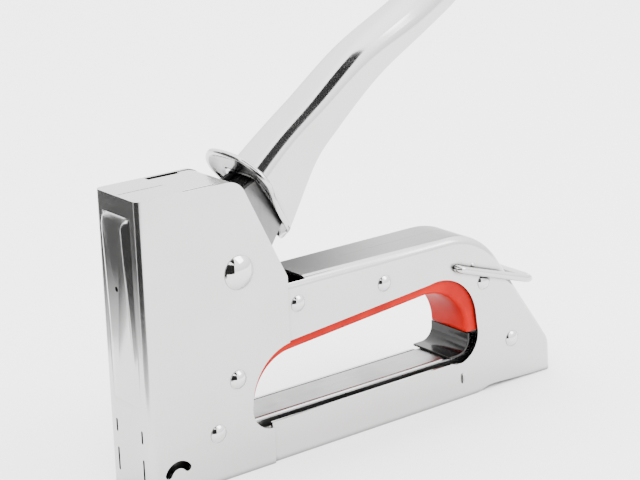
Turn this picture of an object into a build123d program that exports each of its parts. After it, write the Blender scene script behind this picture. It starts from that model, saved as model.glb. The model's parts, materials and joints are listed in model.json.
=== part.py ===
from build123d import *
import os
from math import cos, radians, sin, sqrt

# Hand staple gun. Millimetres. X runs from the front plate to the rear, Z up from the sole, and the
# gun is symmetric about Y = 0. The origin is on the front plate's lower edge, on the centre line.

# Head and body
sheet = 1.0                 # pressed steel sheet
head_width = 22.6
head_height = 92.5
head_rear = 52.0            # rear edge of the head's side sheets
body_half = head_width / 2 - sheet
inner_half = body_half - sheet
body_top = 57.0
body_length = 165.8
top_fold = 3.0              # outside radius where the body plates fold over the top
top_skin_front = 60.0       # the folded top starts here, behind the lever's opening
seam = 0.1                  # gap between the two folded edges
fold_radius = 2.2           # outside radius of the head's front corners

# Handle linkage
pivot = (34.2, 64.4)
squeeze_deg = 36.0
nose = (pivot[0] - 20.0, pivot[1] - 7.0)    # centre of the lifting pin in the lever's nose
lift = 20.0 * sin(radians(squeeze_deg)) + 7.0 * (1 - cos(radians(squeeze_deg)))
lift_pin_radius = 2.2
cheek_outer = 6.9
cheek_sheet = 1.4
bush_radius = 4.5
running = 0.05              # radial clearance of a shaft in its hole

# Magazine
channel_half = 6.9
channel_top = 14.5
channel_wall = 0.9
staple_half = 5.3
staple_wire = 0.5
staple_pitch = 1.29
staple_count = 30
staple_first = 2.75
crown_top = 11.4
staple_tip = 1.4
rail_half = staple_half - staple_wire - 0.1
rail_top = crown_top - staple_wire - 0.05
rail_wall = 0.8
rail_foot = 2.2
magazine_rear = 158.0
rod_height = 5.6

# Bail that locks the handle down
bail_pivot = (121.2, 46.3)
bail_wire_radius = 1.3
bail_half = 12.4
bail_reach = 36.2
bail_droop = -18.0

# Rivets: centre x, centre z, head radius, head height, shank radius
head_rivet_list = [(32.25, 31.0, 3.05, 1.5, 1.5), (24.2, 15.6, 2.9, 1.2, 1.0)]
body_rivet_list = [(56.4, 49.3, 2.7, 1.2, 1.4), (90.8, 47.9, 2.7, 1.2, 1.5),
                   (133.6, 38.8, 2.7, 1.2, 1.5), (146.5, 15.6, 2.8, 1.2, 1.0)]
spacer_list = [(32.25, 31.0), (90.8, 47.9), (133.6, 38.8)]
pivot_shank = 3.0

os.makedirs("parts", exist_ok=True)


def side(y):
    """Upright plane at this y, drawn in X and Z. Extruding from it goes towards -Y."""
    return Plane.XZ.offset(-y)


def save(piece, name):
    """Label the finished piece and write its STEP file."""
    piece.part.label = name
    export_step(piece.part, f"parts/{name}.step")


def front_of_opening():
    """The front curve of the grip opening, from its top corner down to the step."""
    ThreePointArc((head_rear, 38.0), (41.9, 32.6), (37.4, 21.4))
    ThreePointArc((37.4, 21.4), (38.3, 15.5), (45.0, 11.9))


def rear_of_opening(start, low):
    """The rear curve of the grip opening, from the end of its top edge to its lower edge."""
    ThreePointArc(start, (124.2, 39.6), (129.9, 29.5))
    Line((129.9, 29.5), (130.9, 22.5))
    ThreePointArc((130.9, 22.5), (129.0, 16.0), low)


# The closed profile of the grip opening
opening_top_rear = (110.0, 43.1)
opening_low_rear = (124.0, 12.6)
with BuildSketch(Plane.XY) as grip_opening:
    with BuildLine():
        front_of_opening()
        Polyline((45.0, 11.9), (45.0, 13.2), (119.0, 13.2), (121.0, 12.6), opening_low_rear)
        rear_of_opening(opening_top_rear, opening_low_rear)
        Line(opening_top_rear, (head_rear, 38.0))
    make_face()

# The curved window beside the nose
with BuildSketch(Plane.XY) as nose_window:
    SlotArc(ThreePointArc((5.8, 7.5), (9.2, 9.9), (12.6, 8.3)), 2.4)

# ---------------------------------------------------------------- head shell
rib_half = 7.2
rib_proud = 2.0
rib_sections = [(29.0, 0.05), (83.6, rib_proud), (85.6, rib_proud - 0.5), (86.9, 0.05)]
slit_y, slit_width = 6.9, 0.9
flange_end = 16.6
flange_seam = 0.4


def rib_profile(proud, inset):
    """Section of the front rib, closed inside the front plate. inset draws its hollow back."""
    back = 0.5 + inset
    half = rib_half - 0.6 * inset
    face = half - 0.9 * rib_proud
    Polygon((back, -half), (inset, -half), (inset - 0.8 * proud, -face - 0.4), (inset - proud, -face + 0.6),
            (inset - proud, face - 0.6), (inset - 0.8 * proud, face + 0.4), (inset, half), (back, half),
            align=None)


with BuildPart() as head_shell:
    with BuildSketch(side(head_width / 2)) as head_outline:
        with BuildLine():
            Polyline((45.0, 11.9), (45.0, 0), (0, 0), (0, head_height), (35.6, head_height),
                     (head_rear, 59.2), (head_rear, 38.0))
            front_of_opening()
        make_face()
        fillet(head_outline.vertices().sort_by_distance((35.6, head_height))[0], 6.7)
    extrude(amount=head_width)
    fillet(head_shell.edges().filter_by(Axis.Z).group_by(Axis.X)[0], fold_radius)
    # the raised rib on the front, deepest near its top, with sloping sides
    for z, proud in rib_sections:
        with BuildSketch(Plane.XY.offset(z)):
            rib_profile(proud, 0)
    loft(ruled=True)
    # everything inside the sheet
    with BuildSketch(Plane.XY.offset(-1)) as hollow:
        with Locations((sheet, 0)):
            Rectangle(70, 2 * body_half, align=(Align.MIN, Align.CENTER))
        fillet(hollow.vertices().group_by(Axis.X)[0], fold_radius - sheet)
    extrude(amount=head_height - sheet + 1, mode=Mode.SUBTRACT)
    for z, proud in rib_sections:
        with BuildSketch(Plane.XY.offset(z)):
            rib_profile(proud, sheet)
    loft(ruled=True, mode=Mode.SUBTRACT)
    # the folded top stops behind the flanges, and has a seam down its middle
    with BuildSketch(Plane.XY.offset(head_height - sheet)):
        with Locations((flange_end, 0)):
            Rectangle(30, 2 * body_half, align=(Align.MIN, Align.CENTER))
        with Locations((sheet, 0)):
            Rectangle(20, flange_seam, align=(Align.MIN, Align.CENTER))
    extrude(amount=2 * sheet, mode=Mode.SUBTRACT)
    # slits and a gauge hole in the front plate
    with BuildSketch(Plane.YZ.offset(-3)):
        with Locations((-slit_y, 9.0), (slit_y, 9.0)):
            SlotOverall(7.5, slit_width, rotation=90)
        with Locations((-slit_y, 19.9), (slit_y, 19.9)):
            SlotOverall(4.2, slit_width, rotation=90)
        with Locations((0, 64.6)):
            Circle(0.8)
    extrude(amount=5, mode=Mode.SUBTRACT)
    # rivet holes and the curved window beside the nose
    with BuildSketch(side(head_width)):
        with Locations(pivot):
            Circle(pivot_shank + running)
        for x, z, head, height, shank in head_rivet_list:
            with Locations((x, z)):
                Circle(shank + running)
        add(nose_window.sketch)
    extrude(amount=2 * head_width, mode=Mode.SUBTRACT)
save(head_shell, "head_shell")

# ---------------------------------------------------------------- head cap
# A bent channel under the head's top: it closes the top behind the flanges and takes the main spring.
cap_slit_end, cap_slit_width, slit_depth = 28.0, 1.6, 7.0
with BuildPart() as head_cap:
    with BuildSketch(side(body_half)) as cap_outline:
        with BuildLine():
            Polyline((flange_end + 0.3, 78.0), (flange_end + 0.3, head_height - 0.2),
                     (35.2, head_height - 0.2), (37.0, 88.7), (30.0, 78.0), close=True)
        make_face()
        fillet(cap_outline.vertices().sort_by_distance((35.2, head_height - 0.2))[0], 6.0)
    extrude(amount=2 * body_half)
    with BuildSketch(side(inner_half)) as cap_hollow:
        with BuildLine():
            Polyline((0, 70.0), (0, head_height - 1.4), (34.4, head_height - 1.4), (40.4, 79.0),
                     (40.4, 70.0), close=True)
        make_face()
        fillet(cap_hollow.vertices().sort_by_distance((34.4, head_height - 1.4))[0], 5.5)
    extrude(amount=2 * inner_half, mode=Mode.SUBTRACT)
    # relief slits along both top edges
    with BuildSketch(Plane.XY.offset(head_height - slit_depth)):
        for y in (-1, 1):
            with Locations((flange_end, y * body_half)):
                Rectangle(2 * (cap_slit_end - flange_end), 2 * cap_slit_width)
    extrude(amount=slit_depth + 1, mode=Mode.SUBTRACT)
save(head_cap, "head_cap")

# ---------------------------------------------------------------- body plates
def body_plate(hand, name):
    """One side plate with its top folded inwards to the centre seam. hand is -1 near, 1 far."""
    reach = body_half - seam / 2
    with BuildPart() as plate:
        with BuildSketch(side(-seam / 2) if hand < 0 else side(body_half)) as profile:
            with BuildLine():
                Polyline((16.0, 0), (16.0, 74.0), (43.2, 74.0), (50.4, 59.3), (50.4, body_top),
                         (132.7, body_top), (body_length - 0.6, 11.3), (body_length, 0), (139.0, 1.6),
                         (135.6, 1.5), (130.6, 0), close=True)
            make_face()
            fillet(profile.vertices().sort_by_distance((132.7, body_top))[0], 27.9)
            fillet(profile.vertices().sort_by_distance((body_length - 0.6, 11.3))[0], 8.0)
        extrude(amount=reach)
        outside = plate.faces().filter_by(Axis.Y).sort_by(Axis.Y)[0 if hand < 0 else -1]
        top_edges = outside.edges().filter_by(lambda e: e.center().X > 50.5 and e.center().Z > 11
                                              and e.center().X < body_length - 0.4)
        fillet(top_edges, top_fold)
        # hollow it from inside, leaving the side, the folded top and the folded rear
        with BuildSketch(side(0) if hand < 0 else side(inner_half)) as hollow:
            with BuildLine():
                Polyline((10.0, -5.0), (10.0, 80.0), (top_skin_front, 80.0),
                         (top_skin_front, body_top - sheet), (132.2, body_top - sheet),
                         (body_length - 1.8, 11.3), (body_length - 1.2, -5.0), close=True)
            make_face()
            fillet(hollow.vertices().sort_by_distance((132.2, body_top - sheet))[0], 26.9)
            fillet(hollow.vertices().sort_by_distance((body_length - 1.8, 11.3))[0], 7.0)
        extrude(amount=inner_half, mode=Mode.SUBTRACT)
        # the folded rear stops above the magazine's end
        with BuildSketch(side(0) if hand < 0 else side(inner_half)):
            Polygon((150, -5), (170, -5), (170, 16.0), (150, 16.0), align=None)
        extrude(amount=inner_half, mode=Mode.SUBTRACT)
        # grip opening, rivet holes and bail hole
        with BuildSketch(side(hand * body_half)):
            add(grip_opening.sketch)
            with Locations(pivot):
                Circle(pivot_shank + running)
            with Locations(bail_pivot):
                Circle(bail_wire_radius + running)
            for x, z, head, height, shank in head_rivet_list + body_rivet_list:
                with Locations((x, z)):
                    Circle(shank + running)
        extrude(amount=2 * sheet, both=True, mode=Mode.SUBTRACT)
    save(plate, name)


body_plate(-1, "body_plate_left")
body_plate(1, "body_plate_right")

# ---------------------------------------------------------------- grip liner
# A moulded arch between the plates. Its lip shows inside the opening; its legs stop above the sole.
liner_half = inner_half - 0.1
liner_foot = 22.4
with BuildPart() as grip_liner:
    with BuildSketch(side(liner_half)):
        with BuildSketch(Plane.XY, mode=Mode.PRIVATE) as liner_outside:
            add(grip_opening.sketch)
            offset(amount=1.2)
        add(liner_outside.sketch)
        with BuildLine():
            ThreePointArc((53.0, 34.4), (44.6, 30.4), (39.8, 21.0))
            Polyline((39.8, 21.0), (39.8, 5.0), (126.6, 5.0), (126.6, 22.0))
            ThreePointArc((126.6, 22.0), (121.0, 34.8), (109.0, 39.2))
            Line((109.0, 39.2), (53.0, 34.4))
        make_face(mode=Mode.SUBTRACT)
        with Locations((85, liner_foot - 15)):
            Rectangle(120, 30, mode=Mode.SUBTRACT)
    extrude(amount=2 * liner_half)
    lips = grip_liner.edges().filter_by(
        lambda e: abs(abs(e.center().Y) - liner_half) < 0.01 and e.length > 12
        and 39 < e.center().X < 127 and e.center().Z < 37.2 + 0.02 * (e.center().X - 53))
    fillet(lips, 1.6)
save(grip_liner, "grip_liner")

# ---------------------------------------------------------------- magazine channel, fixed in the body
with BuildPart() as magazine_channel:
    with BuildSketch(Plane.YZ.offset(4.7)) as channel_section:
        with Locations((0, 1.2)):
            Rectangle(2 * channel_half, channel_top - 1.2, align=(Align.CENTER, Align.MIN))
        fillet(channel_section.vertices().group_by(Axis.Y)[-1], 1.2)
        with Locations((0, 1.2)):
            Rectangle(2 * (channel_half - channel_wall), channel_top - channel_wall - 1.2,
                      align=(Align.CENTER, Align.MIN), mode=Mode.SUBTRACT)
    extrude(amount=140.0 - 4.7)
save(magazine_channel, "magazine_channel")

# ---------------------------------------------------------------- rear guard
# Bent sheet that closes the body behind the opening, from the channel up to the liner's rear leg.
with BuildPart() as rear_guard:
    with BuildSketch(side(inner_half - 0.1)) as guard_section:
        with BuildLine():
            Line((119.0, channel_top + 0.45), (122.6, channel_top + 0.45))
            ThreePointArc((122.6, channel_top + 0.45), (126.3, 16.6), (127.6, 20.4))
            Line((127.6, 20.4), (127.6, 21.8))
        trace(line_width=0.8)
    extrude(amount=2 * (inner_half - 0.1))
save(rear_guard, "rear_guard")

# ---------------------------------------------------------------- blade guide
blade_half = staple_half - 0.05
blade_front, blade_back = 1.3, 2.5
guide_half = 8.8
guide_back = 4.5
with BuildPart() as blade_guide:
    with BuildSketch(Plane.XY):
        with Locations((sheet + 0.05, 0)):
            Rectangle(guide_back - sheet - 0.05, 2 * guide_half, align=(Align.MIN, Align.CENTER))
    extrude(amount=40.0)
    with BuildSketch(Plane.XY):
        with Locations((sheet, 0)):
            Rectangle(blade_back + 0.1 - sheet, 2 * (blade_half + 0.1), align=(Align.MIN, Align.CENTER))
    extrude(amount=40.0, mode=Mode.SUBTRACT)
    with BuildSketch(Plane.XY):
        with Locations((blade_back, 0)):
            Rectangle(3, 2 * (staple_half + 0.3), align=(Align.MIN, Align.CENTER))
    extrude(amount=crown_top + 0.6, mode=Mode.SUBTRACT)
save(blade_guide, "blade_guide")

# ---------------------------------------------------------------- staples
with BuildPart() as staple_strip:
    places = [staple_first + staple_pitch * i for i in range(staple_count)]
    with BuildSketch(*[Plane.YZ.offset(x) for x in places]):
        with Locations((0, staple_tip)):
            Rectangle(2 * staple_half, crown_top - staple_tip, align=(Align.CENTER, Align.MIN))
            Rectangle(2 * (staple_half - staple_wire), crown_top - staple_wire - staple_tip,
                      align=(Align.CENTER, Align.MIN), mode=Mode.SUBTRACT)
    extrude(amount=staple_pitch - 0.04)
save(staple_strip, "staple_strip")

# ---------------------------------------------------------------- plunger and driver blade
core_half = cheek_outer - cheek_sheet - 0.3
seat_height = 62.5
jaw_front = nose[0] - 3.9
jaw_half = lift_pin_radius + 0.25
spring_x = 10.6
web_rivets = [53.0, 61.1]
with BuildPart() as plunger:
    with BuildSketch(side(core_half)):
        Polygon((blade_back + 0.02, 51.4), (blade_back + 0.02, seat_height), (20.0, seat_height),
                (20.0, 60.2), (16.0, 51.4), align=None)
    extrude(amount=2 * core_half)
    # the jaw that the lifting pin works in
    with BuildSketch(side(core_half)):
        with Locations((jaw_front, nose[1])):
            Rectangle(20, 2 * jaw_half, align=(Align.MIN, Align.CENTER))
    extrude(amount=2 * core_half, mode=Mode.SUBTRACT)
    # stub that centres the spring
    with BuildSketch(Plane.XY.offset(seat_height)):
        with Locations((spring_x, 0)):
            Circle(3.4)
    extrude(amount=4.0)
    with BuildSketch(Plane.YZ.offset(blade_back)):
        for z in web_rivets:
            with Locations((0, z)):
                Circle(0.95)
    extrude(amount=5.0, mode=Mode.SUBTRACT)
save(plunger, "plunger")

with BuildPart() as driver_blade:
    with BuildSketch(Plane.YZ.offset(blade_front)):
        with Locations((0, 0.2)):
            Rectangle(2 * blade_half, seat_height - 0.4, align=(Align.CENTER, Align.MIN))
        for z in web_rivets:
            with Locations((0, z)):
                Circle(0.95, mode=Mode.SUBTRACT)
    extrude(amount=blade_back - blade_front)
save(driver_blade, "driver_blade")

with BuildPart() as blade_rivets:
    with BuildSketch(Plane.YZ.offset(blade_front - 0.25)):
        for z in web_rivets:
            with Locations((0, z)):
                Circle(1.6 if z < 60 else 0.9)
    extrude(amount=0.25)
    with BuildSketch(Plane.YZ.offset(blade_front)):
        for z in web_rivets:
            with Locations((0, z)):
                Circle(0.9)
    extrude(amount=5.5)
save(blade_rivets, "blade_rivets")

# ---------------------------------------------------------------- buffer under the plunger
stop_top = 46.0
with BuildPart() as stop_bracket:
    with BuildSketch(side(inner_half)):
        Polygon((4.6, stop_top - 1.5), (4.6, stop_top), (22.0, stop_top), (22.0, 40.5), (20.5, 40.5),
                (20.5, stop_top - 1.5), align=None)
    extrude(amount=2 * inner_half)
save(stop_bracket, "stop_bracket")

with BuildPart() as buffer_pad:
    with BuildSketch(Plane.XY.offset(stop_top)) as pad_outline:
        with Locations((11.5, 0)):
            Rectangle(12.0, 14.0)
        fillet(pad_outline.vertices(), 2.0)
    extrude(amount=5.2)
    fillet(buffer_pad.edges().group_by(Axis.Z)[-1], 0.8)
save(buffer_pad, "buffer_pad")


# ---------------------------------------------------------------- springs
def coil(start, direction, mean_radius, wire, turns, length, name):
    """A compression spring as a swept wire, from start along direction."""
    with BuildPart() as spring:
        with BuildLine() as path:
            Helix(pitch=length / turns, height=length, radius=mean_radius, center=start,
                  direction=direction)
        with BuildSketch(Plane(path.line @ 0, z_dir=path.line % 0)):
            Circle(wire / 2)
        sweep(is_frenet=True)
    save(spring, name)


spring_cap_bottom = head_height - 1.4 - 1.5
coil((spring_x, 0, seat_height + 1.0), (0, 0, 1), 4.8, 1.8, 6.5,
     spring_cap_bottom - seat_height - 2.0, "main_spring")

with BuildPart() as spring_cap:
    with BuildSketch(Plane.XY.offset(spring_cap_bottom)) as cap_disc:
        with Locations((spring_x, 0)):
            Rectangle(14.5, 16.0)
        fillet(cap_disc.vertices(), 2.0)
    extrude(amount=1.5)
    with BuildSketch(Plane.XY.offset(spring_cap_bottom)):
        with Locations((spring_x, 0)):
            Circle(3.4)
    extrude(amount=-4.0)
save(spring_cap, "spring_cap")


# ---------------------------------------------------------------- rivets, bush and spacers
def dome_height(radius, base, height):
    """Height of a spherical dome above its flat base, at this radius."""
    ball = (base**2 + height**2) / (2 * height)
    return sqrt(ball**2 - radius**2) - (ball - height)


def domed_rivets(rivets, face, name):
    """Rivets through the gun: each a shank along Y with a domed head outside each face."""
    with BuildPart() as piece:
        for x, z, head, dome, shank in rivets:
            middle = face + dome_height(head / 2, head, dome)
            with BuildSketch(Plane(origin=(x, 0, z), x_dir=(1, 0, 0), z_dir=(0, 0, 1))):
                with BuildLine():
                    Polyline((0, face + dome), (0, -face - dome))
                    ThreePointArc((0, -face - dome), (head / 2, -middle), (head, -face))
                    Polyline((head, -face), (shank, -face), (shank, face), (head, face))
                    ThreePointArc((head, face), (head / 2, middle), (0, face + dome))
                make_face()
            revolve(axis=Axis((x, 0, z), (0, 1, 0)))
    save(piece, name)


domed_rivets([(*pivot, 5.3, 2.1, pivot_shank)], head_width / 2, "pivot_rivet")
domed_rivets(head_rivet_list, head_width / 2, "head_rivets")
domed_rivets(body_rivet_list, body_half, "body_rivets")


def tubes(centres, outer, inner, half, name):
    """Tubes along Y, centred on the gun."""
    with BuildPart() as piece:
        with BuildSketch(side(half)):
            with Locations(*centres):
                Circle(outer)
                Circle(inner, mode=Mode.SUBTRACT)
        extrude(amount=2 * half)
    save(piece, name)


tubes([pivot], bush_radius, pivot_shank + running, inner_half - 0.05, "pivot_bush")
tubes(spacer_list, 2.6, 1.5 + running, inner_half - 0.05, "body_spacers")


# ---------------------------------------------------------------- lever
def lever_cheek(hand, name):
    """One side of the lever: nose, pivot eye and the arm that runs up inside the handle."""
    with BuildPart() as cheek:
        with BuildSketch(side(-cheek_outer + cheek_sheet) if hand < 0 else side(cheek_outer)):
            with BuildLine():
                Polyline((14.2, 61.4), (25.5, 66.6), (30.2, 74.5), (37.6, 86.4), (43.0, 89.2),
                         (51.5, 92.0), (57.5, 96.6), (70.5, 106.0), (75.0, 103.0), (68.0, 95.5),
                         (59.0, 83.0), (50.4, 69.5), (43.5, 59.5), (34.5, 54.9), (14.2, 53.4),
                         close=True)
            make_face()
            with Locations(nose):
                Circle(4.0)
            with Locations(pivot):
                Circle(9.5)
                Circle(bush_radius + running, mode=Mode.SUBTRACT)
            with Locations(nose):
                Circle(1.5 + running, mode=Mode.SUBTRACT)
        extrude(amount=cheek_sheet)
    save(cheek, name)


lever_cheek(-1, "lever_cheek_left")
lever_cheek(1, "lever_cheek_right")

# the pin that lifts the plunger, shouldered between the cheeks
with BuildPart() as lift_pin:
    with BuildSketch(side(cheek_outer)):
        with Locations(nose):
            Circle(1.5)
    extrude(amount=2 * cheek_outer)
    with BuildSketch(side(cheek_outer - cheek_sheet - 0.05)):
        with Locations(nose):
            Circle(lift_pin_radius)
    extrude(amount=2 * (cheek_outer - cheek_sheet - 0.05))
save(lift_pin, "lift_pin")

# folded web that joins the cheeks inside the handle
web_half = cheek_outer - cheek_sheet
with BuildPart() as lever_web:
    with BuildSketch(side(web_half)):
        Polygon((40.2, 83.6), (39.2, 85.2), (43.4, 87.6), (52.2, 90.6), (70.2, 104.4), (71.2, 103.0),
                (52.9, 89.0), (44.2, 86.0), align=None)
    extrude(amount=2 * web_half)
save(lever_web, "lever_web")

# ---------------------------------------------------------------- handle with its flared collar
handle_sheet = 1.0
collar_top = (38.2, 98.7)
collar_tip = (59.2, 67.5)
collar_length = ((collar_tip[0] - collar_top[0])**2 + (collar_tip[1] - collar_top[1])**2) ** 0.5
collar_down = ((collar_tip[0] - collar_top[0]) / collar_length,
               (collar_tip[1] - collar_top[1]) / collar_length)
# The collar's plane: its sketch X runs down the collar, its Y across the gun, its normal to the head.
collar = Plane(origin=(collar_top[0], 0, collar_top[1]), x_dir=(collar_down[0], 0, collar_down[1]),
               z_dir=(collar_down[1], 0, -collar_down[0]))
collar_slot_start, collar_slot_end = 8.5, 30.0
# Sections up the handle: centre x, centre z, direction in degrees, width, depth, shoulder radius
handle_sections = [
    (49.4, 82.4, 33.5, 17.6, 22.0, 3.0),
    (60.5, 95.9, 48.0, 16.0, 15.2, 3.0),
    (71.1, 105.1, 42.0, 16.0, 12.6, 3.4),
    (88.7, 119.1, 36.5, 16.0, 11.5, 4.6),
    (108.5, 130.6, 31.0, 16.4, 10.6, 6.2),
    (120.5, 137.9, 31.5, 16.4, 10.4, 6.4),
    (129.5, 143.4, 33.0, 13.5, 9.0, 5.2),
]


def section_plane(x, z, degrees):
    """Plane across the handle: sketch X across the gun, sketch Y towards the handle's back."""
    return Plane(origin=(x, 0, z), x_dir=(0, 1, 0), z_dir=(cos(radians(degrees)), 0, sin(radians(degrees))))


def handle_section(width, depth, shoulder, inset):
    """Inverted U profile, filled: rounded shoulders above and an open foot below when inset."""
    top = depth / 2 - inset
    foot = depth / 2 + (1.5 if inset else 0)
    with Locations((0, (top - foot) / 2)):
        block = Rectangle(width - 2 * inset, top + foot)
    fillet(block.vertices().group_by(Axis.Y)[-1], shoulder - inset)


def collar_outline(inset):
    """The collar's egg-shaped outline, drawn on its plane: broad above, with its point downwards."""
    middle = collar_length / 2
    along = 1 - inset / middle
    across = 1 - inset / 15.0
    places = [(0, 0), (1.0, 7.8), (5.0, 13.2), (9.5, 15.0), (13.5, 13.8), (18.0, 11.7), (24.0, 9.8),
              (31.0, 8.2), (collar_length - 2.0, 5.0), (collar_length, 0)]
    half = Spline(*[(middle + (s - middle) * along, w * across) for s, w in places],
                  tangents=[(0, 1), (0, -1)])
    mirror(half, about=Plane.XZ)


with BuildPart() as handle_hollow:
    for x, z, degrees, width, depth, shoulder in handle_sections[:-1]:
        with BuildSketch(section_plane(x, z, degrees)):
            handle_section(width, depth, shoulder, handle_sheet)
    loft()

with BuildPart() as handle_shell:
    for x, z, degrees, width, depth, shoulder in handle_sections:
        with BuildSketch(section_plane(x, z, degrees)):
            handle_section(width, depth, shoulder, 0)
    loft()
    add(handle_hollow.part, mode=Mode.SUBTRACT)
    # the flared collar is a plate with a shallow dish pressed into the side towards the head
    with BuildSketch(collar.offset(-1.0)):
        with BuildLine():
            collar_outline(0)
        make_face()
    extrude(amount=2.0)
    with BuildSketch(collar.offset(0.2)):
        with BuildLine():
            collar_outline(1.2)
        make_face()
    extrude(amount=1.0, mode=Mode.SUBTRACT)
    # the lever's cheeks come through this opening
    with BuildSketch(collar.offset(-2.0)):
        with Locations((collar_slot_start, 0)):
            Rectangle(collar_slot_end - collar_slot_start, 2 * (cheek_outer + 0.1),
                      align=(Align.MIN, Align.CENTER))
    extrude(amount=4.0, mode=Mode.SUBTRACT)
save(handle_shell, "handle_shell")

# ---------------------------------------------------------------- magazine insert
# The rail, rod and end block draw out of the rear together, so that staples can be laid in the channel.
end_front = magazine_rear + 0.2
end_half = inner_half - 0.15
insert_foot = 1.8
with BuildPart() as magazine_rail:
    with BuildSketch(Plane.YZ.offset(staple_first)):
        with Locations((0, rail_foot)):
            Rectangle(2 * rail_half, rail_top - rail_foot, align=(Align.CENTER, Align.MIN))
            Rectangle(2 * (rail_half - rail_wall), rail_top - rail_wall - rail_foot,
                      align=(Align.CENTER, Align.MIN), mode=Mode.SUBTRACT)
    extrude(amount=magazine_rear - staple_first)
save(magazine_rail, "magazine_rail")

rod_radius = 1.0
with BuildPart() as pusher_rod:
    with BuildSketch(Plane.YZ.offset(40.0)):
        with Locations((0, rod_height)):
            Circle(rod_radius)
    extrude(amount=end_front + 2.0 - 40.0)
save(pusher_rod, "pusher_rod")

with BuildPart() as magazine_end:
    with BuildSketch(side(end_half)):
        Polygon((end_front, insert_foot), (end_front, 12.4), (163.0, 12.4), (163.7, 9.0),
                (164.2, insert_foot), align=None)
    extrude(amount=2 * end_half)
    with BuildSketch(Plane.YZ.offset(end_front)):
        with Locations((0, rod_height)):
            Circle(rod_radius)
    extrude(amount=2.0, mode=Mode.SUBTRACT)
    fillet(magazine_end.edges().filter_by(Axis.Y).group_by(Axis.X)[-1], 0.8)
save(magazine_end, "magazine_end")

# ---------------------------------------------------------------- pusher
pusher_front = staple_first + staple_pitch * staple_count + 0.2
pusher_length = 12.0
with BuildPart() as pusher:
    with BuildSketch(Plane.YZ.offset(pusher_front)) as pusher_section:
        with Locations((0, 1.3)):
            Rectangle(11.6, 12.2 - 1.3, align=(Align.CENTER, Align.MIN))
        fillet(pusher_section.vertices().group_by(Axis.Y)[-1], 0.8)
        # the rail passes through this slot
        with Locations((0, rail_foot - 0.1)):
            Rectangle(2 * rail_half + 0.2, rail_top + 0.2 - rail_foot,
                      align=(Align.CENTER, Align.MIN), mode=Mode.SUBTRACT)
        with Locations((0, rail_foot - 0.2)):
            Rectangle(2 * (rail_half - rail_wall) - 0.2, rail_top - rail_wall - rail_foot,
                      align=(Align.CENTER, Align.MIN))
        with Locations((0, rod_height)):
            Circle(rod_radius + running, mode=Mode.SUBTRACT)
    extrude(amount=pusher_length)
save(pusher, "pusher")

coil((pusher_front + pusher_length + 0.6, 0, rod_height), (1, 0, 0), 1.9, 0.6, 26,
     end_front - pusher_front - pusher_length - 1.2, "pusher_spring")

# ---------------------------------------------------------------- return spring on the pivot bush
coil((pivot[0], 2.6, pivot[1]), (0, -1, 0), 5.6, 1.2, 4, 5.2, "return_spring")

# ---------------------------------------------------------------- bail
bail_end = (bail_pivot[0] + bail_reach * cos(radians(bail_droop)),
            bail_pivot[1] + bail_reach * sin(radians(bail_droop)))
with BuildPart() as bail_wire:
    with BuildLine(Plane.XY) as bail_path:
        FilletPolyline((0, -inner_half + 0.5, 0), (0, -bail_half, 0), (bail_reach, -bail_half, 0),
                       (bail_reach, bail_half, 0), (0, bail_half, 0), (0, inner_half - 0.5, 0),
                       radius=[1.7, 6.0, 6.0, 1.7])
    with BuildSketch(Plane(bail_path.line @ 0, z_dir=bail_path.line % 0)):
        Circle(bail_wire_radius)
    sweep()
bail_wire.part = bail_wire.part.rotate(Axis.Y, -bail_droop).translate((bail_pivot[0], 0, bail_pivot[1]))
save(bail_wire, "bail_wire")

print("lift of the plunger at full squeeze", round(lift, 3), "mm, per radian",
      round(lift / radians(squeeze_deg), 3))
print("bail end", [round(v, 2) for v in bail_end])
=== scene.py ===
# %% [markdown]
# # A hand staple gun
#
# The gun is a stack of thin steel pressings with a bright plated finish, held together by domed rivets. A
# sprung handle lifts a plunger inside the head and lets it go. The frame that this lesson loads holds every
# working piece; the inner ones are laid out as such guns usually are. The work here is the surfaces: rounded
# sheet edges, pressed details, plating, brushed steel, moulded plastic, and a studio for bright metal.

# %% Load the frame
import json
from math import cos, pi, radians, sin, sqrt

import bmesh
import bpy
from mathutils import Matrix, Vector

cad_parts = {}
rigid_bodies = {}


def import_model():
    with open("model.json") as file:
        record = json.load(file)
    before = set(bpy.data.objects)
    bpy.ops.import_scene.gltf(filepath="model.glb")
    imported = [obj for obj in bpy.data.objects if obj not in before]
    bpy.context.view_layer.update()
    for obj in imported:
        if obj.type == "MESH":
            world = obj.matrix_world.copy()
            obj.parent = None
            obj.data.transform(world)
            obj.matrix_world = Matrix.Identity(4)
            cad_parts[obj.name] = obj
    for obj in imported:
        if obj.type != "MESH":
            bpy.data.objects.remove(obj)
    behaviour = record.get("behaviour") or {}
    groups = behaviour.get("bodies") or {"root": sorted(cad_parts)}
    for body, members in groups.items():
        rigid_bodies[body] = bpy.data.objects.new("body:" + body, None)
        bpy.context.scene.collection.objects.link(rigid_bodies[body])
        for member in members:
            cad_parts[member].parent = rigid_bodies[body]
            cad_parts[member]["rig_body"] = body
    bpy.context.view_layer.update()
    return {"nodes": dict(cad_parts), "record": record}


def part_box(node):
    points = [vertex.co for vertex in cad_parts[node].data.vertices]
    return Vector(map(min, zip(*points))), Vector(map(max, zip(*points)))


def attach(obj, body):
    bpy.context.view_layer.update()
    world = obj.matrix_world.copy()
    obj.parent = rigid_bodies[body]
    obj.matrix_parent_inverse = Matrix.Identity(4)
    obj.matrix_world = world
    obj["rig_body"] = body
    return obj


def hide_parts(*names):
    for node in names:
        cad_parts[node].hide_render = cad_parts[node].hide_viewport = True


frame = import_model()
MM = 0.001

# %% [markdown]
# ## Camera
#
# A long lens from low on the left of the gun keeps the head's front, its side and its top in one view with
# little convergence. The camera is described in studio terms: where it stands, which way it turns
# round the gun, how far it looks down, and a slight roll.

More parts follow.
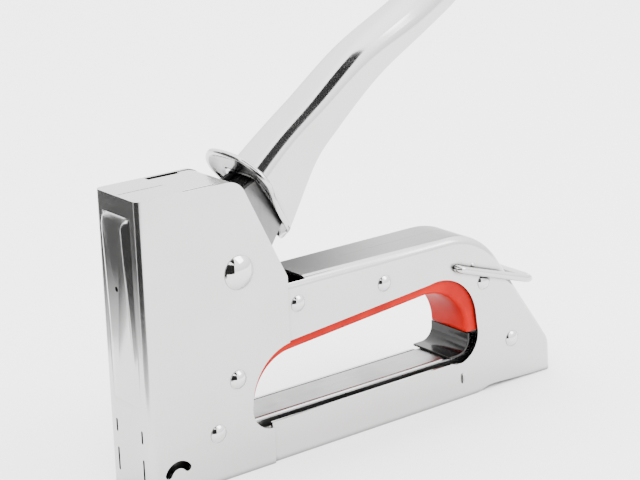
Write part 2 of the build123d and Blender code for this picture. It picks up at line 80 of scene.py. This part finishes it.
# %% Camera
azimuth, elevation, roll = radians(-37.52), radians(16.94), radians(-1.76)
camera_place = Vector((-0.2580, -0.4316, 0.2295))
backward = Vector((sin(azimuth) * cos(elevation), -cos(azimuth) * cos(elevation), sin(elevation)))
level_right = (-backward).cross(Vector((0, 0, 1))).normalized()
level_up = level_right.cross(-backward)
camera_right = cos(roll) * level_right + sin(roll) * level_up
camera_up = -sin(roll) * level_right + cos(roll) * level_up

lens = bpy.data.cameras.new("studio_camera")
lens.sensor_width = 36
lens.lens = 102.09
lens.clip_start, lens.clip_end = 0.01, 20
camera = bpy.data.objects.new("studio_camera", lens)
bpy.context.scene.collection.objects.link(camera)
camera.matrix_world = (Matrix.Translation(camera_place)
                       @ Matrix((camera_right, camera_up, backward)).transposed().to_4x4())
bpy.context.scene.camera = camera
print("camera at", [round(v, 3) for v in camera_place])

# %% [markdown]
# ## Shader maths
#
# A finish is easier to read as sums and products than as boxes and wires. A small class wraps a socket and
# gives it the arithmetic operators, each of which adds one Math node. A second class holds a material and has
# one method that makes any other node.


# %% Sockets that add up
class Wire:
    """An output socket that can stand in an expression."""

    def __init__(self, finish, socket):
        self.finish = finish
        self.socket = socket

    def maths(self, operation, first, second):
        return self.finish.node("Math", {"operation": operation}, {0: first, 1: second})

    def __add__(self, other):
        return self.maths("ADD", self, other)

    def __radd__(self, other):
        return self.maths("ADD", other, self)

    def __sub__(self, other):
        return self.maths("SUBTRACT", self, other)

    def __rsub__(self, other):
        return self.maths("SUBTRACT", other, self)

    def __mul__(self, other):
        return self.maths("MULTIPLY", self, other)

    def __rmul__(self, other):
        return self.maths("MULTIPLY", other, self)


class Finish:
    """A material with a Principled shader, and one method for every other node."""

    def __init__(self, name):
        self.material = bpy.data.materials.new(name)
        self.material.use_nodes = True
        self.tree = self.material.node_tree
        self.shader = self.tree.nodes["Principled BSDF"]

    def feed(self, socket, value):
        if isinstance(value, Wire):
            self.tree.links.new(value.socket, socket)
        else:
            socket.default_value = value

    def node(self, kind, settings=None, inputs=None, output=0):
        made = self.tree.nodes.new("ShaderNode" + kind)
        for name, value in (settings or {}).items():
            setattr(made, name, value)
        for name, value in (inputs or {}).items():
            self.feed(made.inputs[name], value)
        return Wire(self, made.outputs[output])

    def paint(self, **values):
        for name, value in values.items():
            self.feed(self.shader.inputs[name.replace("_", " ")], value)
        return self.material

    def place(self, scale=(1, 1, 1), turn=(0, 0, 0)):
        """The point on the piece, in metres, stretched by scale."""
        here = self.node("TexCoord", output="Object")
        return self.node("Mapping", None, {"Vector": here, "Scale": scale, "Rotation": turn})

    def grain(self, scale, detail=3.0, stretch=(1, 1, 1), turn=(0, 0, 0)):
        """Noise from 0 to 1 with about scale features to the metre."""
        return self.node("TexNoise", None, {"Vector": self.place(stretch, turn), "Scale": scale,
                                            "Detail": detail})

    def between(self, mask, low, high):
        """The mask stretched so that low becomes 0 and high becomes 1, eased at both ends."""
        return self.node("MapRange", {"interpolation_type": "SMOOTHSTEP"},
                         {"Value": mask, "From Min": low, "From Max": high})

    def blend(self, mask, one, other):
        """One colour where the mask is 0 and the other where it is 1."""
        mixed = self.tree.nodes.new("ShaderNodeMix")
        mixed.data_type = "RGBA"
        self.feed(mixed.inputs[0], mask)
        self.feed(mixed.inputs[6], one)
        self.feed(mixed.inputs[7], other)
        return Wire(self, mixed.outputs[2])

    def bumps(self, height, depth, under=None):
        """A normal with this height, depth in metres at height 1."""
        inputs = {"Height": height, "Strength": 1.0, "Distance": depth}
        if under is not None:
            inputs["Normal"] = under
        return self.node("Bump", None, inputs)


def grey(level, warmth=0.0):
    return (level * (1 + warmth), level, level * (1 - warmth), 1)


print("shader helpers ready")


# %% [markdown]
# ## Plated sheet
#
# The head, the body and the handle are mild steel, pressed, polished and plated. Such plating is a near mirror,
# but the sheet under it is never quite flat: it has a slow waviness, drawing marks along the rolled direction
# and fine handling scratches, and it holds faint smudges that dull it. Three noises of different scale make
# those, and roughness carries most of the effect, because plating has almost no colour of its own.


# %% Plated sheet
# CREVICE and the shade share below set the painted crevice shade: base colour darkened where metal is close to
# other metal.
CREVICE = 2.2 * MM
MARK_DEPTH = 0.000020       # metres, times the roughness
PAINTED_SHADE_SHARE = 0.10           # how bright a crevice is beside open metal


def painted_crevice_shade(finish, colour, painted_shade_colour):
    """Darkens a colour where the metal is close to other metal: painted crevice shade."""
    # painted shade: the ambient occlusion mask darkens the base colour in seams, slits and round rivet heads
    open_share = finish.node("AmbientOcclusion", {"samples": 6}, {"Distance": CREVICE}, output="AO")
    return finish.blend(finish.between(open_share, 0.35, 0.93), painted_shade_colour, colour)


def plated(name, level, rough, wave):
    finish = Finish(name)
    smudge = finish.between(finish.grain(38, 4), 0.38, 0.68)
    rolled = finish.grain(420, 2, (0.06, 1, 1))
    scratch = finish.between(finish.grain(900, 2, (0.03, 1, 1), (0.3, 0.5, 0.9)), 0.62, 0.70)
    slow = finish.grain(55, 1)
    sheet_wave = finish.bumps(slow, wave)
    marks = finish.bumps(rolled * 0.5 + scratch * 0.15, rough * MARK_DEPTH, sheet_wave)
    clean = finish.blend(smudge * 0.5 + rolled * 0.3, grey(level, 0.004), grey(level * 0.92, 0.012))
    # the base colour carries painted crevice shade
    return finish.paint(Base_Color=painted_crevice_shade(finish, clean, grey(level * PAINTED_SHADE_SHARE)), Metallic=1.0,
                        Roughness=rough + smudge * 0.05 + scratch * 0.04, Normal=marks)


chromed_sheet = plated("chromed_sheet", 0.50, 0.17, 0.000030)
chromed_handle = plated("chromed_handle", 0.50, 0.11, 0.000010)
polished_rivet = plated("polished_rivet", 0.56, 0.05, 0.0)
chromed_wire = plated("chromed_wire", 0.50, 0.12, 0.0)
# a darker copy of the handle's plating for the collar's dish: painted shade
shaded_dish_chrome = plated("shaded_dish_chrome", 0.26, 0.16, 0.000040)
print("plated finishes", chromed_sheet.name, chromed_handle.name, polished_rivet.name)

# %% [markdown]
# ## Brushed and ground steel
#
# The magazine, the lever and the inner parts are plain plated or ground steel. Brushing leaves long fine lines
# in one direction, which spread a reflection across them. A noise squeezed hard along that direction gives
# both the height and the roughness of the lines.


# %% Brushed steel
def brushed(name, level, rough, along=(0.02, 1, 1), warmth=0.006):
    finish = Finish(name)
    lines = finish.grain(1500, 2, along)
    patches = finish.between(finish.grain(70, 3), 0.35, 0.70)
    colour = finish.blend(patches * 0.6 + lines * 0.4, grey(level, warmth), grey(level * 0.78, warmth))
    # the base colour carries painted crevice shade
    return finish.paint(Base_Color=painted_crevice_shade(finish, colour, grey(level * PAINTED_SHADE_SHARE)), Metallic=1.0,
                        Roughness=rough + lines * 0.12 + patches * 0.06,
                        Normal=finish.bumps(lines, 0.000006))


bright_steel = brushed("bright_steel", 0.29, 0.20)
# lever cheeks: brushed across their length, which is their finish, and a darker base colour, which is painted
# shade
shaded_lever_steel = brushed("shaded_lever_steel", 0.20, 0.30, (1, 1, 0.03))
# near-black base colour for the rear guard: painted shade in the recess at the back of the opening
shaded_guard_steel = brushed("shaded_guard_steel", 0.035, 0.10)
tool_steel = brushed("tool_steel", 0.26, 0.32, (1, 1, 0.03), 0.0)
spring_steel = brushed("spring_steel", 0.22, 0.30, (1, 1, 1), -0.01)
staple_wire = brushed("staple_wire", 0.58, 0.30, (1, 1, 0.05))
print("steel finishes", bright_steel.name, tool_steel.name)

# %% [markdown]
# ## Moulded plastic and rubber
#
# The liner is an injection moulding with a satin surface: saturated red, a soft highlight, and a very fine
# spark-eroded grain from the mould. The buffer is dull black rubber.


# %% Plastic and rubber
def moulded(name, colour, shade, rough, grain_depth):
    finish = Finish(name)
    texture = finish.grain(2600, 2)
    mottle = finish.between(finish.grain(90, 3), 0.3, 0.7)
    clean = finish.blend(mottle * 0.6, colour, shade)
    # the base colour carries painted crevice shade
    return finish.paint(Base_Color=painted_crevice_shade(finish, clean, shade),
                        Specular_IOR_Level=0.06, Roughness=rough + texture * 0.10 + mottle * 0.05,
                        Normal=finish.bumps(texture, grain_depth))


red_plastic = moulded("red_plastic", (0.36, 0.0050, 0.0022, 1), (0.20, 0.003, 0.002, 1), 0.30, 0.00001)
buffer_rubber = moulded("buffer_rubber", (0.025, 0.025, 0.027, 1), (0.04, 0.04, 0.04, 1), 0.70, 0.00004)
finish_of_slot = {
    "chromed_sheet": chromed_sheet, "rivet_steel": polished_rivet, "red_plastic": red_plastic,
    "bright_steel": bright_steel, "tool_steel": tool_steel, "spring_steel": spring_steel,
    "staple_wire": staple_wire, "buffer_rubber": buffer_rubber,
}
own_finish = {"handle_shell": chromed_handle, "bail_wire": chromed_wire, "lever_cheek_left": shaded_lever_steel,
              "lever_cheek_right": shaded_lever_steel, "rear_guard": shaded_guard_steel}

# %% [markdown]
# ## Finishes on the frame's nodes
#
# Each node of the frame names the slot it is made from, so one loop hands out the finishes. A few pieces have a
# finish of their own: a handle is polished further than a flat side, and the lever cheeks and the rear guard
# get darker steel, which is painted shade.

# %% Hand out the finishes
slot_of = {piece["node"]: piece["material_slot"] for piece in frame["record"]["subparts"]}
for name, node in frame["nodes"].items():
    node.data.materials.clear()
    node.data.materials.append(own_finish.get(name, finish_of_slot[slot_of[name]]))
    print(name, slot_of[name], len(node.data.polygons), "faces")

# %% [markdown]
# ## Rounded sheet edges
#
# A pressed edge is never sharp. Bright metal shows this at once: every edge is a thin bright or dark line,
# because its small radius looks round the room. The sheet pieces are copied from the frame, their flat faces
# are merged, and a bevel of about a fifth of the sheet's thickness rounds every true edge. Springs, bushes
# and other turned pieces only need their facets to shade as one smooth surface.


# %% Rounded edges
def apply_modifiers(piece):
    """Bake the piece's modifiers into its mesh."""
    shaped = piece.evaluated_get(bpy.context.evaluated_depsgraph_get())
    mesh = bpy.data.meshes.new_from_object(shaped)
    piece.modifiers.clear()
    piece.data = mesh


def soften(piece, width, sharp):
    """Round the edges of a piece that are sharper than the angle."""
    bevel = piece.modifiers.new("edge", "BEVEL")
    bevel.width = width
    bevel.segments = 2
    bevel.limit_method = "ANGLE"
    bevel.angle_limit = sharp
    bevel.harden_normals = True
    bevel.use_clamp_overlap = True
    apply_modifiers(piece)


def formed(node_name, width, sharp=radians(28)):
    """A smooth copy of a frame node with softened edges, which stands for it."""
    source = frame["nodes"][node_name]
    mesh = source.data.copy()
    form = bmesh.new()
    form.from_mesh(mesh)
    bmesh.ops.remove_doubles(form, verts=form.verts, dist=0.000002)
    bmesh.ops.dissolve_limit(form, angle_limit=radians(0.6), verts=form.verts, edges=form.edges)
    for face in form.faces:
        face.smooth = True
    form.to_mesh(mesh)
    form.free()
    mesh.set_sharp_from_angle(angle=sharp)
    piece = bpy.data.objects.new(node_name + "_formed", mesh)
    bpy.context.scene.collection.objects.link(piece)
    if width:
        soften(piece, width, sharp=sharp)
    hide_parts(node_name)
    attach(piece, source["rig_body"])
    print(piece.name, len(piece.data.polygons), "faces")


edge_of = {"head_shell": 0.22, "body_plate_left": 0.20, "body_plate_right": 0.20, "head_cap": 0.20,
           "magazine_channel": 0.15, "rear_guard": 0.15, "lever_cheek_left": 0.20, "lever_cheek_right": 0.20,
           "magazine_end": 0.20, "blade_guide": 0.15, "magazine_rail": 0.10, "pusher": 0.15,
           "stop_bracket": 0.15, "spring_cap": 0.15, "lever_web": 0.15, "plunger": 0.20}
for name, width in edge_of.items():
    formed(name, width * MM)
for name in ["grip_liner", "main_spring", "return_spring", "pusher_spring", "pusher_rod", "pivot_bush",
             "body_spacers", "lift_pin", "buffer_pad", "blade_rivets"]:
    formed(name, 0, sharp=radians(40))

# %% [markdown]
# ## Meshes from loops
#
# The handle, its collar, the rivets and the bail are smooth forms, and plating shows every facet. Each is made
# as a stack of loops, one section after another, joined by quads. Two helpers do that: one joins the loops,
# and the other makes the object, names its slot and lets it ride on its body.


# %% Loop helpers
def join_loops(loops):
    """Vertices and quads of a stack of closed loops."""
    size = len(loops[0])
    verts = [point for loop in loops for point in loop]
    faces = []
    for k in range(len(loops) - 1):
        here, ahead = k * size, (k + 1) * size
        for i in range(size):
            j = (i + 1) % size
            faces.append((here + i, here + j, ahead + j, ahead + i))
    return verts, faces


def capped(loops):
    """Joined loops with both ends filled."""
    verts, faces = join_loops(loops)
    size = len(loops[0])
    last = len(verts) - size
    return verts, faces + [tuple(range(size))[::-1], tuple(range(last, last + size))]


def made_piece(name, parts, finish, body, nodes=(), sharp=radians(40)):
    """One object, in metres, from several (vertices, faces) parts in millimetres."""
    form = bmesh.new()
    for verts, faces in parts:
        made = [form.verts.new(Vector(point) * MM) for point in verts]
        for face in faces:
            form.faces.new([made[i] for i in face])
    bmesh.ops.remove_doubles(form, verts=form.verts, dist=0.000001)
    bmesh.ops.recalc_face_normals(form, faces=form.faces)
    for face in form.faces:
        face.smooth = True
    mesh = bpy.data.meshes.new(name)
    form.to_mesh(mesh)
    form.free()
    mesh.set_sharp_from_angle(angle=sharp)
    mesh.materials.append(finish)
    piece = bpy.data.objects.new(name, mesh)
    bpy.context.scene.collection.objects.link(piece)
    if nodes:
        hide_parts(*nodes)
    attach(piece, body)
    print(name, len(mesh.polygons), "faces")


def through(values, place):
    """A smooth curve through a list of number tuples, at a place counted in steps of the list."""
    k = min(int(place), len(values) - 2)
    t = place - k
    before, here = values[max(k - 1, 0)], values[k]
    ahead, after = values[k + 1], values[min(k + 2, len(values) - 1)]
    return tuple(0.5 * (2 * b + (c - a) * t + (2 * a - 5 * b + 4 * c - d) * t**2
                        + (3 * b - a - 3 * c + d) * t**3)
                 for a, b, c, d in zip(before, here, ahead, after))


print("loop helpers ready")

# %% [markdown]
# ## Rivets
#
# Each rivet goes right through and has a domed head on both sides. A head is turned from a profile: a shallow
# ball, a small edge radius and a seat just proud of the sheet. Turning it here, with 64 steps, keeps the dark
# crescent and the small bright spot of a real dome free of facets.


# %% Rivets
def turned(centre_x, centre_z, profile, steps=64):
    """A profile of (radius, y) points turned about the Y line through a centre."""
    loops = [[(centre_x + r * cos(2 * pi * i / steps), y, centre_z + r * sin(2 * pi * i / steps))
              for i in range(steps)] for r, y in profile]
    return join_loops(loops)


def rivet_profile(face, head, dome, shank):
    """From the middle of one head, along the shank, to the middle of the other."""
    ball = (head**2 + dome**2) / (2 * dome)
    rows, middle, edge = 14, 0.02, 0.12
    radii = [middle + (head - edge) * k / rows for k in range(rows + 1)]
    half = [(r, face + sqrt(ball**2 - r**2) - (ball - dome)) for r in radii]
    half += [(head, face + edge), (head, face), (shank, face), (shank, 0)]
    return half + [(r, -y) for r, y in reversed(half[:-1])]


def face_of(node):
    """How far a rivet's seat is from the centre line: the sheet it clamps."""
    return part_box(node)[1].y / MM


head_side, body_side = face_of("head_shell"), face_of("body_plate_right")
made_piece("pivot_rivet_turned", [turned(34.2, 64.4, rivet_profile(head_side, 5.3, 2.1, 3.0))],
           polished_rivet, "body", ["pivot_rivet"])
# centre x, centre z, head radius, head height, shank radius
head_rivets = [(32.25, 31.0, 3.05, 1.5, 1.5), (24.2, 15.6, 2.9, 1.2, 1.0)]
body_rivets = [(56.4, 49.3, 2.7, 1.2, 1.4), (90.8, 47.9, 2.7, 1.2, 1.5), (133.6, 38.8, 2.7, 1.2, 1.5),
               (146.5, 15.6, 2.8, 1.2, 1.0)]
for name, side_face, rivets in [("head_rivets", head_side, head_rivets),
                                ("body_rivets", body_side, body_rivets)]:
    made_piece(name + "_turned", [turned(x, z, rivet_profile(side_face, head, dome, shank))
                                  for x, z, head, dome, shank in rivets],
               polished_rivet, "body", [name])

# %% [markdown]
# ## Handle and collar
#
# The handle is one deep pressing: an inverted trough with round shoulders that widens into a dished collar at
# its lower end. It is drawn in two stacks of loops. The trough's loops are U sections placed along its length,
# with the sheet's thickness inside them. The collar's loops follow its egg-shaped rim: they roll over the lip,
# cross the dish and end at the opening that the lever comes through.

# %% Handle trough
# centre x, centre z, direction in degrees, width, depth, shoulder radius, from the collar to the end
handle_stations = [
    (49.4, 82.4, 33.5, 17.6, 22.0, 4.4), (60.5, 95.9, 48.0, 16.0, 15.2, 4.2),
    (71.1, 105.1, 42.0, 16.0, 12.6, 4.6), (88.7, 119.1, 36.5, 16.0, 11.5, 5.8),
    (108.5, 130.6, 31.0, 16.4, 10.6, 7.6), (120.5, 137.9, 31.5, 16.4, 10.4, 7.4),
    (129.5, 143.4, 33.0, 13.5, 9.0, 5.2),
]
handle_sheet = 1.0
arc_steps = 14


def trough_line(width, depth, shoulder, inset):
    """Half-open U from the near foot, over both shoulders, to the far foot, as (across, up) points."""
    half, top, r = width / 2 - inset, depth / 2 - inset, shoulder - inset
    near = [(-half + r - r * cos(pi / 2 * k / arc_steps), top - r + r * sin(pi / 2 * k / arc_steps))
            for k in range(arc_steps + 1)]
    line = [(-half, -depth / 2)] + near
    return line + [(-y, v) for y, v in reversed(line)]


def in_station(station, points, ahead=0.0):
    """Section points placed in space at a station, pushed ahead along the handle."""
    x, z, degrees = station[:3]
    turn = radians(degrees)
    return [(x - v * sin(turn) + ahead * cos(turn), y, z + v * cos(turn) + ahead * sin(turn))
            for y, v in points]


def trough_loop(station):
    outer = trough_line(*station[3:], 0)
    inner = trough_line(*station[3:], handle_sheet)
    return in_station(station, outer + inner[::-1])


steps_between = 12
steps = (len(handle_stations) - 1) * steps_between
stations = [through(handle_stations, k / steps_between) for k in range(steps)]
stations.append(handle_stations[-1])
trough_verts, trough_faces = join_loops([trough_loop(station) for station in stations])
loop_size = len(trough_loop(stations[0]))
trough_faces += [tuple(range(loop_size))[::-1]]

# the closed end: the section shrinks over a small radius and is filled
end = handle_stations[-1]
end_loops = []
for inset, ahead in [(0.0, -1.4), (0.0, -0.6), (0.25, -0.15), (0.8, 0.25), (1.7, 0.45)]:
    shrunk = (*end[:3], end[3] - 2 * inset, end[4] - 2 * inset, end[5] - inset)
    end_loops.append(in_station(shrunk, trough_line(*shrunk[3:], 0), ahead))
print("trough", len(stations), "sections")

# %% [markdown]
# The collar's rim is egg-shaped. Each loop is the rim moved some way in towards the lever's opening, and some
# way up or down, so that a short list of pairs draws the rolled lip and the dish all round.

# %% Collar
collar_top, collar_tip = Vector((38.2, 0, 98.7)), Vector((59.2, 0, 67.5))
collar_down = (collar_tip - collar_top).normalized()
collar_out = Vector((collar_down.z, 0, -collar_down.x))
collar_length = (collar_tip - collar_top).length
# (distance down the collar, half width) of the rim, from the top round one side to the tip
rim_places = [(0, 0), (1.0, 7.8), (5.0, 13.2), (9.5, 15.0), (13.5, 13.8), (18.0, 11.7), (24.0, 9.8),
              (31.0, 8.2), (collar_length - 3.0, 4.2), (collar_length, 0)]
rim_steps = 8
lip_reach = 7.5             # beyond this distance from the opening the lip stops growing
opening_top, opening_low, opening_half = 8.5, 30.0, 7.0
# share of the way in from the rim, and height towards the head, round the sheet's section
rim_section = [(1.0, -0.30), (0.75, -0.46), (0.52, -0.45), (0.40, -0.20), (0.30, 0.28), (0.21, 0.72),
               (0.14, 0.90), (0.07, 0.86), (0.02, 0.55), (0.0, 0.05), (0.02, -0.45), (0.08, -0.86),
               (0.18, -1.0), (0.55, -1.0), (1.0, -1.0)]
half_rim = [through(rim_places, k / rim_steps) for k in range((len(rim_places) - 1) * rim_steps)]
half_rim.append(rim_places[-1])
rim = half_rim + [(s, -w) for s, w in reversed(half_rim[1:-1])]
opening_middle = (opening_top + opening_low) / 2


def on_opening(s, w):
    """The point of the opening's edge that lies in line with a rim point."""
    along, across = s - opening_middle, w
    reach = max(abs(along) / ((opening_low - opening_top) / 2), abs(across) / opening_half)
    return opening_middle + along / reach, across / reach


collar_loops = []
for share, height in rim_section:
    loop = []
    for s, w in rim:
        s_in, w_in = on_opening(s, w)
        gap = sqrt((s - s_in)**2 + (w - w_in)**2)
        inward = share if share > 0.5 else share * min(1.0, lip_reach / gap)
        at = collar_top + collar_down * (s + (s_in - s) * inward) + collar_out * height
        loop.append((at.x, w + (w_in - w) * inward, at.z))
    collar_loops.append(loop)
dish_loops = 5              # the first loops, from the opening to the foot of the lip
made_piece("handle_pressing", [(trough_verts, trough_faces), capped(end_loops),
                               join_loops(collar_loops[dish_loops:] + collar_loops[:1])],
           chromed_handle, "handle", ["handle_shell"], sharp=radians(50))
# the dish takes the darker plating copy, which is painted shade
made_piece("collar_dish", [join_loops(collar_loops[:dish_loops + 1])],
           shaded_dish_chrome, "handle", sharp=radians(50))

# %% [markdown]
# ## Bail
#
# The bail is one length of round wire bent into a loop. It turns in a hole in each side plate and hangs behind
# the body. On a real gun it passes over the squeezed handle's end to hold it down; this frame's joint stops
# short of that. The bends are true arcs, swept as a tube.

# %% Bail
bail_x, bail_z, bail_reach, bail_half = 121.2, 46.3, 36.2, 12.4
bail_droop, wire_radius, bail_bend, foot_bend = radians(-18.0), 1.3, 6.0, 1.7
bail_inside = 8.8


def bend(corner, start_turn, radius, steps=12):
    """Arc points for a right-angled corner, as (along, across), from one leg to the next."""
    return [(corner[0] + radius * cos(start_turn + pi / 2 * k / steps),
             corner[1] + radius * sin(start_turn + pi / 2 * k / steps)) for k in range(steps + 1)]


half_loop = [(0, -bail_inside)]
half_loop += bend((foot_bend, -bail_half + foot_bend), pi, foot_bend)
half_loop += bend((bail_reach - bail_bend, -bail_half + bail_bend), -pi / 2, bail_bend)
centre_line = half_loop + [(a, -c) for a, c in reversed(half_loop)]


def in_bail(along, across, lift):
    """A point of the bail's plane, lifted off it, placed in space."""
    return (bail_x + along * cos(bail_droop) - lift * sin(bail_droop), across,
            bail_z + along * sin(bail_droop) + lift * cos(bail_droop))


tube_steps = 20
bail_loops = []
for k, (along, across) in enumerate(centre_line):
    back, on = centre_line[max(k - 1, 0)], centre_line[min(k + 1, len(centre_line) - 1)]
    heading = Vector((on[0] - back[0], on[1] - back[1])).normalized()
    bail_loops.append([in_bail(along + wire_radius * cos(2 * pi * i / tube_steps) * heading.y,
                               across - wire_radius * cos(2 * pi * i / tube_steps) * heading.x,
                               wire_radius * sin(2 * pi * i / tube_steps)) for i in range(tube_steps)])
made_piece("bail_bent_wire", [capped(bail_loops)], chromed_wire, "bail", ["bail_wire"])

# %% [markdown]
# ## Pressed marks on the body
#
# Small punched features finish the side plates: a bump near the bail, a lanced tab low down, and a punched dot
# near the rear end. They are the same on both sides.


# %% Pressed marks
def bump(x, z, radius, height, hand):
    """A small pressed dome on one side plate."""
    rows, tiny = 8, 0.02
    profile = [(tiny + (radius - tiny) * k / rows,
                hand * (body_side - tiny + height * cos(pi / 2 * k / rows))) for k in range(rows + 1)]
    return turned(x, z, profile, 32)


def lanced_tab(x, z, hand):
    """A tongue cut on three sides and pushed out, highest at its straight front edge."""
    rows, half_height, lip, seat = 9, 1.8, 0.25, 0.05
    base = hand * (body_side - seat)
    loops = []
    for k in range(rows):
        turn = pi * k / (rows - 1)
        height = z - half_height * cos(turn)
        width = 0.35 + 1.0 * sin(turn) ** 0.7
        proud = hand * (body_side + 0.10 + 0.60 * sin(turn))
        loops.append([(x, base, height), (x, proud, height),
                      (x + lip, proud, height), (x + width, base, height)])
    return capped(loops)


marks = [bump(128.6, 45.6, 1.0, 0.5, hand) for hand in (-1, 1)]
marks += [bump(158.5, 4.7, 0.55, 0.22, hand) for hand in (-1, 1)]
marks += [lanced_tab(123.6, 7.0, hand) for hand in (-1, 1)]
made_piece("pressed_marks", marks, chromed_sheet, "body")

# %% [markdown]
# ## Studio
#
# Bright metal is a picture of its room. The room is a white sweep, brighter above than at the horizon, and a
# few dark cards draw the dark lines along the folds and on the rounded handle. Some stand where a real card
# would be in the picture, so all of them are hidden from the camera and act on reflections only. They are
# placed for this one camera, so from other sides the reflections are not designed.


# %% Floor and cards
def flat_panel(name, corners, material):
    """One flat face that is part of the studio, not of the gun."""
    form = bmesh.new()
    form.faces.new([form.verts.new(corner) for corner in corners])
    mesh = bpy.data.meshes.new(name)
    form.to_mesh(mesh)
    form.free()
    mesh.materials.append(material)
    panel = bpy.data.objects.new(name, mesh)
    bpy.context.scene.collection.objects.link(panel)
    return panel


floor_reach = 6.0
floor_finish = Finish("pale_floor")
floor_tone = floor_finish.blend(floor_finish.grain(3, 2) * 0.5, grey(0.90), grey(0.88))
floor_finish.paint(Base_Color=floor_tone, Roughness=0.9)
flat_panel("floor", [(-floor_reach, -floor_reach, 0), (floor_reach, -floor_reach, 0),
                     (floor_reach, floor_reach, 0), (-floor_reach, floor_reach, 0)], floor_finish.material)


def glow(name, low, high, start, end, axis="Z"):
    """A card whose brightness runs from low at the start to high at the end, along an axis."""
    finish = Finish(name)
    place = finish.node("SeparateXYZ", None, {0: finish.place()}, output=axis)
    level = finish.between(place, start, end) * (high - low) + low
    emitter = finish.node("Emission", None, {"Color": (1, 1, 1, 1), "Strength": level})
    output = finish.tree.nodes["Material Output"]
    finish.tree.links.new(emitter.socket, output.inputs["Surface"])
    return finish.material


def only_reflected(panel):
    """Hide a card from everything but reflections."""
    panel.visible_camera = False
    panel.visible_diffuse = False
    panel.visible_shadow = False
    panel.visible_transmission = False
    return panel


def card(name, centre, facing, width, height, material):
    """An upright or tilted card, seen only in reflections, that faces the given point."""
    middle = Vector(centre)
    normal = (Vector(facing) - middle).normalized()
    across = Vector((0, 0, 1)).cross(normal).normalized() * width / 2
    upward = normal.cross(across).normalized() * height / 2
    return only_reflected(flat_panel(name, [middle - across - upward, middle + across - upward,
                                            middle + across + upward, middle - across + upward], material))


studio_light = 4.8
black = 0.008 * studio_light
dark_card = glow("dark_card", black, black, 0, 1)
front_card = glow("front_card", 0.36 * studio_light, 0.035 * studio_light, 0.0, 0.036)
card("front_gradient_card", (-0.073, 0.095, 0.10), (0.0, 0.0, 0.10), 0.12, 0.20, front_card)
corner = Vector((0.0, -0.011, 0.0))
corner_way = Vector((-0.95, -0.31, 0)).normalized()
corner_glow = glow("corner_card", 0.34 * studio_light, 0.010 * studio_light, 0.004, 0.034)
card("corner_card", corner + corner_way * 0.075 + Vector((0, 0, 0.055)), corner + Vector((0, 0, 0.055)),
     0.145, 0.108, corner_glow)
rivet_point = Vector((0.034, -0.011, 0.064))
rivet_way = Vector((-0.62, -0.76, 0.14)).normalized()
card("rivet_card", rivet_point + rivet_way * 0.35, rivet_point, 0.46, 0.34, dark_card)
skin_point = Vector((0.100, 0.012, 0.063))
skin_way = Vector((0.582, 0.759, 0.291))
skin_glow = glow("skin_card", 0.10 * studio_light, 0.42 * studio_light, 0.090, 0.128, "X")
card("skin_card", skin_point + skin_way * 0.022, skin_point, 0.080, 0.034, skin_glow)
# a large card over the handle draws the dark streak on its near shoulder
only_reflected(flat_panel("overhead_card", [(0.03, -0.55, 0.35), (0.105, -0.36, 0.62), (-0.015, 0.0, 0.735),
                                            (-0.34, 0.10, 0.56)], dark_card))
print("studio cards ready")

# %% [markdown]
# The light is one even world, weaker at the horizon than overhead, and one large soft lamp as the key.

# %% World light
world = bpy.data.worlds.new("white_room")
world.use_nodes = True
bpy.context.scene.world = world
horizon, zenith = 0.62, 1.15
sky = world.node_tree
direction = sky.nodes.new("ShaderNodeTexCoord").outputs["Generated"]
height = sky.nodes.new("ShaderNodeSeparateXYZ")
sky.links.new(direction, height.inputs[0])
rise = sky.nodes.new("ShaderNodeMapRange")
rise.inputs["To Min"].default_value = horizon * studio_light
rise.inputs["To Max"].default_value = zenith * studio_light
sky.links.new(height.outputs["Z"], rise.inputs["Value"])
sky.nodes["Background"].inputs["Color"].default_value = grey(1.0)
sky.links.new(rise.outputs["Result"], sky.nodes["Background"].inputs["Strength"])


def soft_lamp(name, place, aim, size, power):
    lamp = bpy.data.lights.new(name, "AREA")
    lamp.shape = "SQUARE"
    lamp.size = size
    lamp.energy = power
    stand = bpy.data.objects.new(name, lamp)
    bpy.context.scene.collection.objects.link(stand)
    stand.location = place
    stand.rotation_euler = (Vector(aim) - Vector(place)).to_track_quat("-Z", "Y").to_euler()


soft_lamp("key_lamp", (0.9, -1.0, 1.2), (0.07, 0, 0.06), 0.9, 18)
print("studio ready")
